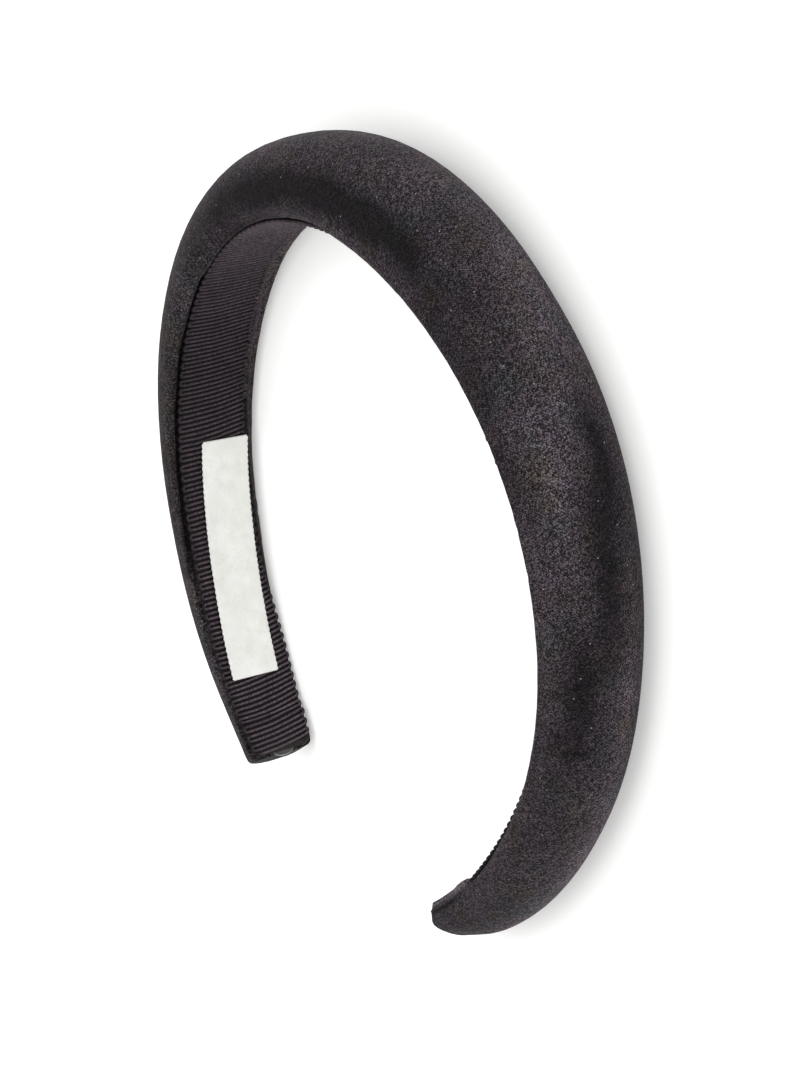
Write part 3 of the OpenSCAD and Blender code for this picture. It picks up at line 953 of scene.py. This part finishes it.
def makeLabel(material):
    turn = math.radians(label["turn"])
    columns = np.linspace(-1, 1, label["columns"])
    thick = label["thickness"] * (1 - label["thinner"] * np.abs(columns) ** 10)
    low = -2 * ribbon["gap"] - ribbon["thickness"] - label["clear"]
    waveX, waveY = label["waveSize"]
    rings = []
    for run in np.linspace(-0.5, 0.5, label["steps"]) * label["length"]:
        pick = np.sin(run / label["pickPitch"] * 2 * math.pi) - 1
        nearEnd = max(0, 1 - (label["length"] / 2 - abs(run)) / label["endReach"])
        q = columns * (label["width"] / 2 + label["pick"] * pick - label["endTrim"] * nearEnd ** 2)
        wave = label["wave"] * softNoise(np.full(len(q), run / waveX), q / waveY + 9, seed=6)
        run = run + q * label["skew"]
        s = -(label["middle"] + run * math.cos(turn) - q * math.sin(turn))
        up = q * math.cos(turn) + run * math.sin(turn) - label["drop"]
        face = low - thick - wave - label["wave"]
        rings.append(np.concatenate([bandPoint(s, face, up), bandPoint(s, face + thick, up)[::-1]]))
    piece = skin("satinLabel", np.array(rings))

    # its own place for each point, along it and over it
    s, out, up = bandPlace(coordsOf(piece.data))
    along, over = -s - label["middle"], up + label["drop"]
    turned = [along * math.cos(turn) + over * math.sin(turn), over * math.cos(turn) - along * math.sin(turn)]
    markPoints(piece.data, "labelPlace", np.stack([*turned, out], -1))
    finishPiece(piece, "satin_label", material)


# Polyester satin, woven on a narrow label loom: pale, smooth and softly lustrous, with a faint
# close weave. Its threads are 0.1 mm apart, drawn at 0.9 mm so that they show.
satinLook = {
    "threadPitch": 0.9 * mm,
    "cloud": (4.5 * mm, 0.8),  # size and depth
    "grain": (0.6 * mm, 0.25),
    "grainBump": 1.2,
    "colours": ("#d4d4cf", "#eaeae6"),
    "range": (0.3, 0.75),  # of the noise, from the first colour to the second
    "bump": {"Strength": 0.2, "Distance": 0.06 * mm},
    "shader": {"Roughness": 0.42, "Specular IOR Level": 0.45, "Sheen Weight": 0.1},
}


def makeSatin():
    look = satinLook
    material, add = newMaterial("wovenPolyesterSatin")
    place = add("ShaderNodeAttribute", attribute_name="labelPlace").outputs["Vector"]
    threads = add("ShaderNodeTexWave", {
        "Vector": place, "Scale": waveScale(look["threadPitch"]), "Distortion": 0.6, "Detail": 1,
        "Detail Scale": 600}, bands_direction="X").outputs["Fac"]
    cloud, grain = (
        add("ShaderNodeTexNoise", {
            "Vector": place, "Scale": 1 / size, "Detail": detail, "Roughness": roughness})
        for size, detail, roughness in ((look["cloud"][0], 4, 0.6), (look["grain"][0], 1, 0.5)))
    shown = add("MULTIPLY", [grain, look["grain"][1]])
    shown = add("MULTIPLY_ADD", [cloud, look["cloud"][1], shown])
    ramp = add("ShaderNodeValToRGB", [shown])
    for stop, position, colour in zip(ramp.color_ramp.elements, look["range"], look["colours"]):
        stop.position, stop.color = position, linear(colour)
    height = add("MULTIPLY_ADD", [grain, look["grainBump"], threads])
    bump = add("ShaderNodeBump", {"Height": height, **look["bump"]})
    shader = add("ShaderNodeBsdfPrincipled", {"Base Color": ramp, "Normal": bump, **look["shader"]})
    add("ShaderNodeOutputMaterial", [shader])
    return material


# Ends of the stiff core: injection moulded plastic with a gloss black finish, so they are dark and
# catch one clear glint, with softened edges
core = {
    "edge": 0.22 * mm,
    "steps": 3,
    "back": 0.2 * mm,  # that much less of it shows
    "colours": ("#0f0e0d", "#221f1d"),
    "scuffSize": 1.2 * mm,
    "roughness": (0.12, 0.32),  # where the scuffs are least and most
    "bump": {"Strength": 0.15, "Distance": 0.1 * mm},
    "shader": {"IOR": 1.5, "Specular IOR Level": 0.5, "Coat Weight": 0.4},
}


def makeGlossPlastic():
    material, add = newMaterial("mouldedGlossPlastic")
    body = add("ShaderNodeTexCoord").outputs["Object"]
    scuff = add("ShaderNodeTexNoise", {"Vector": body, "Scale": 1 / core["scuffSize"], "Detail": 3})
    ramp = add("ShaderNodeValToRGB", [scuff])
    for stop, colour in zip(ramp.color_ramp.elements, core["colours"]):
        stop.color = linear(colour)
    rough = add("ShaderNodeMapRange", [scuff, 0, 1, *core["roughness"]])
    bump = add("ShaderNodeBump", {"Height": scuff, **core["bump"]})
    shader = add("ShaderNodeBsdfPrincipled", {
        "Base Color": ramp, "Roughness": rough, "Normal": bump, **core["shader"]})
    add("ShaderNodeOutputMaterial", [shader])
    return material


def makeCoreTip(node, name, material):
    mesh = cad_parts[node].data.copy()
    bm = bmesh.new()
    bm.from_mesh(mesh)
    bmesh.ops.remove_doubles(bm, verts=bm.verts, dist=0.001 * mm)
    bmesh.ops.dissolve_limit(bm, angle_limit=math.radians(1), verts=bm.verts, edges=bm.edges)
    bm.to_mesh(mesh)
    bm.free()
    s, out, up = bandPlace(coordsOf(mesh))
    setCoords(mesh, bandPoint(s - np.sign(s) * core["back"] - band["rightShort"] * (s > 0), out, up))
    tip = newPiece(name, mesh)
    bevel = tip.modifiers.new("softened edge", "BEVEL")
    bevel.width, bevel.segments, bevel.limit_method = core["edge"], core["steps"], "ANGLE"
    applied(tip)
    tip.data.shade_smooth()
    finishPiece(tip, node, material)


# Camera of the photo, fitted to the band's outline
camera = {
    "aim": (8.15 * mm, 0.59 * mm, 12.77 * mm),
    "elevation": 30.47,  # degrees above the floor
    "azimuth": 32.52,  # degrees from the band's right towards its crown
    "roll": 6.72,
    "distance": 1043.6 * mm,
    "lens": 180.2,
    "sensor": 36,
    "clip": (0.05, 20),
}


def makeCamera():
    up, around = math.radians(camera["elevation"]), math.radians(camera["azimuth"])
    back = Vector((math.cos(up) * math.cos(around), math.cos(up) * math.sin(around), math.sin(up)))
    right = Vector((0, 1, 0)).cross(back).normalized()
    right = Matrix.Rotation(math.radians(camera["roll"]), 3, back) @ right
    turn = Matrix((right, back.cross(right), back)).transposed()
    data = bpy.data.cameras.new("camera")
    data.sensor_fit, data.sensor_width, data.lens = "AUTO", camera["sensor"], camera["lens"]
    data.clip_start, data.clip_end = camera["clip"]
    seen = bpy.data.objects.new("camera", data)
    seen.matrix_world = Matrix.Translation(Vector(camera["aim"]) + back * camera["distance"]) @ turn.to_4x4()
    scene.collection.objects.link(seen)
    scene.camera = seen


# Bright seamless floor and soft boxes
studio = {
    "floor": 6.0,
    "floorColour": "#f4f4f3",
    "floorShader": {"Roughness": 0.85, "Specular IOR Level": 0.1},
    "underlit": 0.34,  # the floor is a white light table, so that shadows stay faint
    "world": 0.74,
}
softBoxes = [
    # name, place, size, strength in watts
    ("keyBox", (0.5, 1.1, 1.4), 0.9, 5),
    ("fillBox", (1.6, 0.1, 0.7), 1.2, 6),
    ("topBox", (-0.2, 0.0, 1.6), 1.8, 7),
]


def makeStudio():
    world = bpy.data.worlds.new("studio")
    scene.world = world
    world.use_nodes = True
    world.node_tree.nodes.clear()
    glow = addNode(world.node_tree, "ShaderNodeBackground", [linear("#ffffff"), studio["world"]])
    addNode(world.node_tree, "ShaderNodeOutputWorld", [glow])
    for name, place, size, power in softBoxes:
        data = bpy.data.lights.new(name, "AREA")
        data.shape, data.size, data.energy = "SQUARE", size, power
        box = bpy.data.objects.new(name, data)
        box.location = place
        box.rotation_euler = (-Vector(place)).to_track_quat("-Z", "Y").to_euler()
        scene.collection.objects.link(box)
    mesh = bpy.data.meshes.new("floor")
    r = studio["floor"] / 2
    mesh.from_pydata([(-r, -r, 0), (r, -r, 0), (r, r, 0), (-r, r, 0)], [], [(0, 1, 2, 3)])
    material, add = newMaterial("mattePaperSweep")
    paper = linear(studio["floorColour"])
    shader = add("ShaderNodeBsdfPrincipled", {
        "Base Color": paper, "Emission Color": paper, "Emission Strength": studio["underlit"],
        **studio["floorShader"]})
    add("ShaderNodeOutputMaterial", [shader])
    mesh.materials.append(material)
    newPiece("floor", mesh)
    scene.view_settings.view_transform = "Standard"


print("camera and studio")
makeCamera()
makeStudio()
print("velvet pad")
makeVelvetPad(makeVelvet())
print("grosgrain lining")
cloth = makeRibbonCloth(makeGrosgrain("grosgrainGround", "#171314", "#4a4241"))
weft = makeWeft(makeGrosgrain("grosgrainRib", "#0f0c0e", "#62575f"))
print("label")
makeLabel(makeSatin())
print("core tips")
gloss = makeGlossPlastic()
makeCoreTip("core_tip_left", "coreTipLeft", gloss)
makeCoreTip("core_tip_right", "coreTipRight", gloss)
